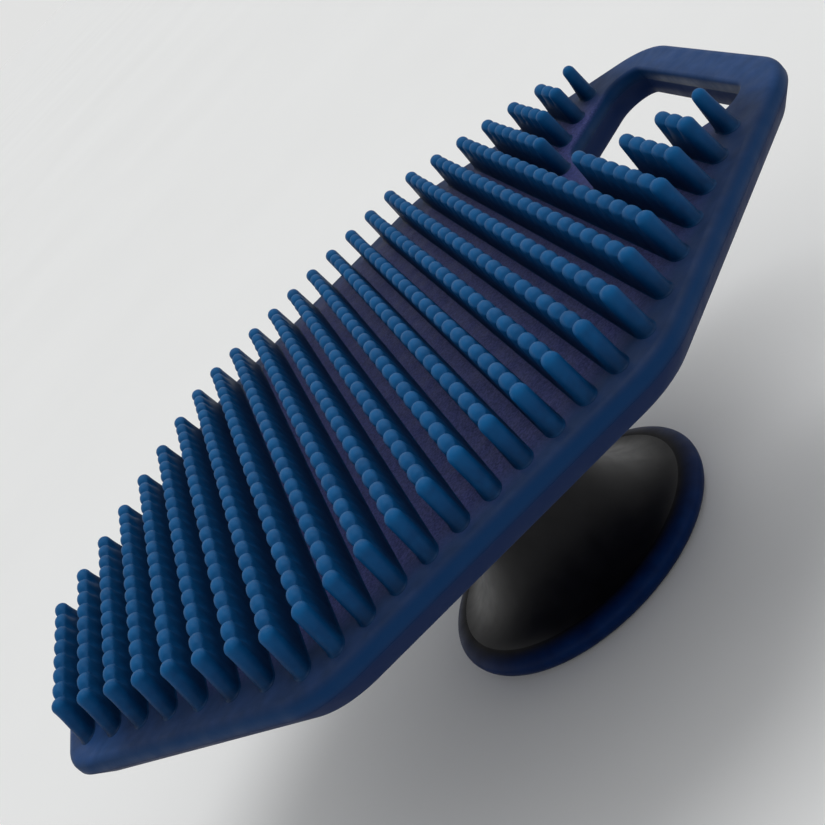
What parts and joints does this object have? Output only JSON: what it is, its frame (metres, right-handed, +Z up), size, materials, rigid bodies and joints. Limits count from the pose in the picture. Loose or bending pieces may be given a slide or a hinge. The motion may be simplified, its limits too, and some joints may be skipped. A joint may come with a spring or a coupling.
{
  "type": "scalp massager brush",
  "caption": "Octagonal silicone scalp massager with beaded bending ribs on its face, a hang opening at one end and a flared knob on its back.",
  "frame": {"origin": "centre of the knob's flat end, which the brush stands on", "axes": "+Z up through the knob to the rib tips; +X along the plate towards the hang opening; +Y to the left, looking at the ribs with the opening up"},
  "size_m": [0.114, 0.103, 0.0428],
  "materials": {
    "silicone_ribs": "soft satin navy-blue silicone, slightly brighter where the ribs are thin",
    "silicone_plate": "matte navy silicone with a faint purple cast",
    "grip_black": "satin black moulded plastic",
    "core_plastic": "plain grey moulded plastic, hidden",
    "gasket_rubber": "black rubber, hidden but for its edge",
    "stainless_steel": "stainless steel, hidden"
  },
  "bodies": {
    "brush": {"back_shell": "silicone_plate", "core_plate": "core_plastic", "front_pad": "silicone_plate", "grip_flare": "grip_black", "grip_screw": "stainless_steel", "neck_gasket": "gasket_rubber", "palm_cap": "silicone_plate", "screw_washer": "stainless_steel"},
    "rib_01_body": {"rib_01": "silicone_ribs"},
    "rib_02_body": {"rib_02": "silicone_ribs"},
    "rib_03_body": {"rib_03": "silicone_ribs"},
    "rib_04_body": {"rib_04": "silicone_ribs"},
    "rib_05_body": {"rib_05": "silicone_ribs"},
    "rib_06_body": {"rib_06": "silicone_ribs"},
    "rib_07_body": {"rib_07": "silicone_ribs"},
    "rib_08_body": {"rib_08": "silicone_ribs"},
    "rib_09_body": {"rib_09": "silicone_ribs"},
    "rib_10_body": {"rib_10": "silicone_ribs"},
    "rib_11_body": {"rib_11": "silicone_ribs"},
    "rib_12_body": {"rib_12": "silicone_ribs"},
    "rib_13_body": {"rib_13": "silicone_ribs"},
    "rib_14_body": {"rib_14": "silicone_ribs"},
    "rib_15_body": {"rib_15": "silicone_ribs"},
    "rib_16_body": {"rib_16": "silicone_ribs"},
    "rib_17_body": {"rib_17": "silicone_ribs"},
    "rib_18_body": {"rib_18": "silicone_ribs"},
    "rib_19_body": {"rib_19": "silicone_ribs"},
    "rib_20_body": {"rib_20": "silicone_ribs"},
    "rib_21_body": {"rib_21": "silicone_ribs"},
    "rib_22_left_body": {"rib_22_left": "silicone_ribs"},
    "rib_22_right_body": {"rib_22_right": "silicone_ribs"},
    "rib_23_left_body": {"rib_23_left": "silicone_ribs"},
    "rib_23_right_body": {"rib_23_right": "silicone_ribs"},
    "rib_24_left_body": {"rib_24_left": "silicone_ribs"},
    "rib_24_right_body": {"rib_24_right": "silicone_ribs"},
    "rib_25_left_body": {"rib_25_left": "silicone_ribs"},
    "rib_25_right_body": {"rib_25_right": "silicone_ribs"}
  },
  "joints": [
    {"name": "rib_01_bend", "type": "hinge", "parent": "brush", "child": "rib_01_body", "pos_m": [-0.0546, 0, 0.0375], "axis": [0, 1, 0], "range_deg": [-18, 18], "stiffness_Nm_per_rad": 0.010034},
    {"name": "rib_02_bend", "type": "hinge", "parent": "brush", "child": "rib_02_body", "pos_m": [-0.0504, 0, 0.0375], "axis": [0, 1, 0], "range_deg": [-18, 18], "stiffness_Nm_per_rad": 0.012528},
    {"name": "rib_03_bend", "type": "hinge", "parent": "brush", "child": "rib_03_body", "pos_m": [-0.0462, 0, 0.0375], "axis": [0, 1, 0], "range_deg": [-18, 18], "stiffness_Nm_per_rad": 0.015022},
    {"name": "rib_04_bend", "type": "hinge", "parent": "brush", "child": "rib_04_body", "pos_m": [-0.042, 0, 0.0375], "axis": [0, 1, 0], "range_deg": [-18, 18], "stiffness_Nm_per_rad": 0.017516},
    {"name": "rib_05_bend", "type": "hinge", "parent": "brush", "child": "rib_05_body", "pos_m": [-0.0378, 0, 0.0375], "axis": [0, 1, 0], "range_deg": [-18, 18], "stiffness_Nm_per_rad": 0.02001},
    {"name": "rib_06_bend", "type": "hinge", "parent": "brush", "child": "rib_06_body", "pos_m": [-0.0336, 0, 0.0375], "axis": [0, 1, 0], "range_deg": [-18, 18], "stiffness_Nm_per_rad": 0.022504},
    {"name": "rib_07_bend", "type": "hinge", "parent": "brush", "child": "rib_07_body", "pos_m": [-0.0294, 0, 0.0375], "axis": [0, 1, 0], "range_deg": [-18, 18], "stiffness_Nm_per_rad": 0.024998},
    {"name": "rib_08_bend", "type": "hinge", "parent": "brush", "child": "rib_08_body", "pos_m": [-0.0252, 0, 0.0375], "axis": [0, 1, 0], "range_deg": [-18, 18], "stiffness_Nm_per_rad": 0.027492},
    {"name": "rib_09_bend", "type": "hinge", "parent": "brush", "child": "rib_09_body", "pos_m": [-0.021, 0, 0.0375], "axis": [0, 1, 0], "range_deg": [-18, 18], "stiffness_Nm_per_rad": 0.02842},
    {"name": "rib_10_bend", "type": "hinge", "parent": "brush", "child": "rib_10_body", "pos_m": [-0.0168, 0, 0.0375], "axis": [0, 1, 0], "range_deg": [-18, 18], "stiffness_Nm_per_rad": 0.02842},
    {"name": "rib_11_bend", "type": "hinge", "parent": "brush", "child": "rib_11_body", "pos_m": [-0.0126, 0, 0.0375], "axis": [0, 1, 0], "range_deg": [-18, 18], "stiffness_Nm_per_rad": 0.02842},
    {"name": "rib_12_bend", "type": "hinge", "parent": "brush", "child": "rib_12_body", "pos_m": [-0.0084, 0, 0.0375], "axis": [0, 1, 0], "range_deg": [-18, 18], "stiffness_Nm_per_rad": 0.02842},
    {"name": "rib_13_bend", "type": "hinge", "parent": "brush", "child": "rib_13_body", "pos_m": [-0.0042, 0, 0.0375], "axis": [0, 1, 0], "range_deg": [-18, 18], "stiffness_Nm_per_rad": 0.02842},
    {"name": "rib_14_bend", "type": "hinge", "parent": "brush", "child": "rib_14_body", "pos_m": [0, 0, 0.0375], "axis": [0, 1, 0], "range_deg": [-18, 18], "stiffness_Nm_per_rad": 0.02842},
    {"name": "rib_15_bend", "type": "hinge", "parent": "brush", "child": "rib_15_body", "pos_m": [0.0042, 0, 0.0375], "axis": [0, 1, 0], "range_deg": [-18, 18], "stiffness_Nm_per_rad": 0.02842},
    {"name": "rib_16_bend", "type": "hinge", "parent": "brush", "child": "rib_16_body", "pos_m": [0.0084, 0, 0.0375], "axis": [0, 1, 0], "range_deg": [-18, 18], "stiffness_Nm_per_rad": 0.02842},
    {"name": "rib_17_bend", "type": "hinge", "parent": "brush", "child": "rib_17_body", "pos_m": [0.0126, 0, 0.0375], "axis": [0, 1, 0], "range_deg": [-18, 18], "stiffness_Nm_per_rad": 0.02842},
    {"name": "rib_18_bend", "type": "hinge", "parent": "brush", "child": "rib_18_body", "pos_m": [0.0168, 0, 0.0375], "axis": [0, 1, 0], "range_deg": [-18, 18], "stiffness_Nm_per_rad": 0.02842},
    {"name": "rib_19_bend", "type": "hinge", "parent": "brush", "child": "rib_19_body", "pos_m": [0.021, 0, 0.0375], "axis": [0, 1, 0], "range_deg": [-18, 18], "stiffness_Nm_per_rad": 0.027666},
    {"name": "rib_20_bend", "type": "hinge", "parent": "brush", "child": "rib_20_body", "pos_m": [0.0252, 0, 0.0375], "axis": [0, 1, 0], "range_deg": [-18, 18], "stiffness_Nm_per_rad": 0.025549},
    {"name": "rib_21_bend", "type": "hinge", "parent": "brush", "child": "rib_21_body", "pos_m": [0.0294, 0, 0.0375], "axis": [0, 1, 0], "range_deg": [-18, 18], "stiffness_Nm_per_rad": 0.023432},
    {"name": "rib_22_left_bend", "type": "hinge", "parent": "brush", "child": "rib_22_left_body", "pos_m": [0.03328, 0.02127, 0.0375], "axis": [0, 1, 0], "range_deg": [-18, 18], "stiffness_Nm_per_rad": 0.008975},
    {"name": "rib_22_right_bend", "type": "hinge", "parent": "brush", "child": "rib_22_right_body", "pos_m": [0.03328, -0.02127, 0.0375], "axis": [0, 1, 0], "range_deg": [-18, 18], "stiffness_Nm_per_rad": 0.008975},
    {"name": "rib_23_left_bend", "type": "hinge", "parent": "brush", "child": "rib_23_left_body", "pos_m": [0.03716, 0.02355, 0.0375], "axis": [0, 1, 0], "range_deg": [-18, 18], "stiffness_Nm_per_rad": 0.005539},
    {"name": "rib_23_right_bend", "type": "hinge", "parent": "brush", "child": "rib_23_right_body", "pos_m": [0.03716, -0.02355, 0.0375], "axis": [0, 1, 0], "range_deg": [-18, 18], "stiffness_Nm_per_rad": 0.005539},
    {"name": "rib_24_left_bend", "type": "hinge", "parent": "brush", "child": "rib_24_left_body", "pos_m": [0.04104, 0.02343, 0.0375], "axis": [0, 1, 0], "range_deg": [-18, 18], "stiffness_Nm_per_rad": 0.003495},
    {"name": "rib_24_right_bend", "type": "hinge", "parent": "brush", "child": "rib_24_right_body", "pos_m": [0.04104, -0.02343, 0.0375], "axis": [0, 1, 0], "range_deg": [-18, 18], "stiffness_Nm_per_rad": 0.003495},
    {"name": "rib_25_left_bend", "type": "hinge", "parent": "brush", "child": "rib_25_left_body", "pos_m": [0.04492, 0.02335, 0.0375], "axis": [0, 1, 0], "range_deg": [-18, 18], "stiffness_Nm_per_rad": 0.001421},
    {"name": "rib_25_right_bend", "type": "hinge", "parent": "brush", "child": "rib_25_right_body", "pos_m": [0.04492, -0.02335, 0.0375], "axis": [0, 1, 0], "range_deg": [-18, 18], "stiffness_Nm_per_rad": 0.001421}
  ]
}
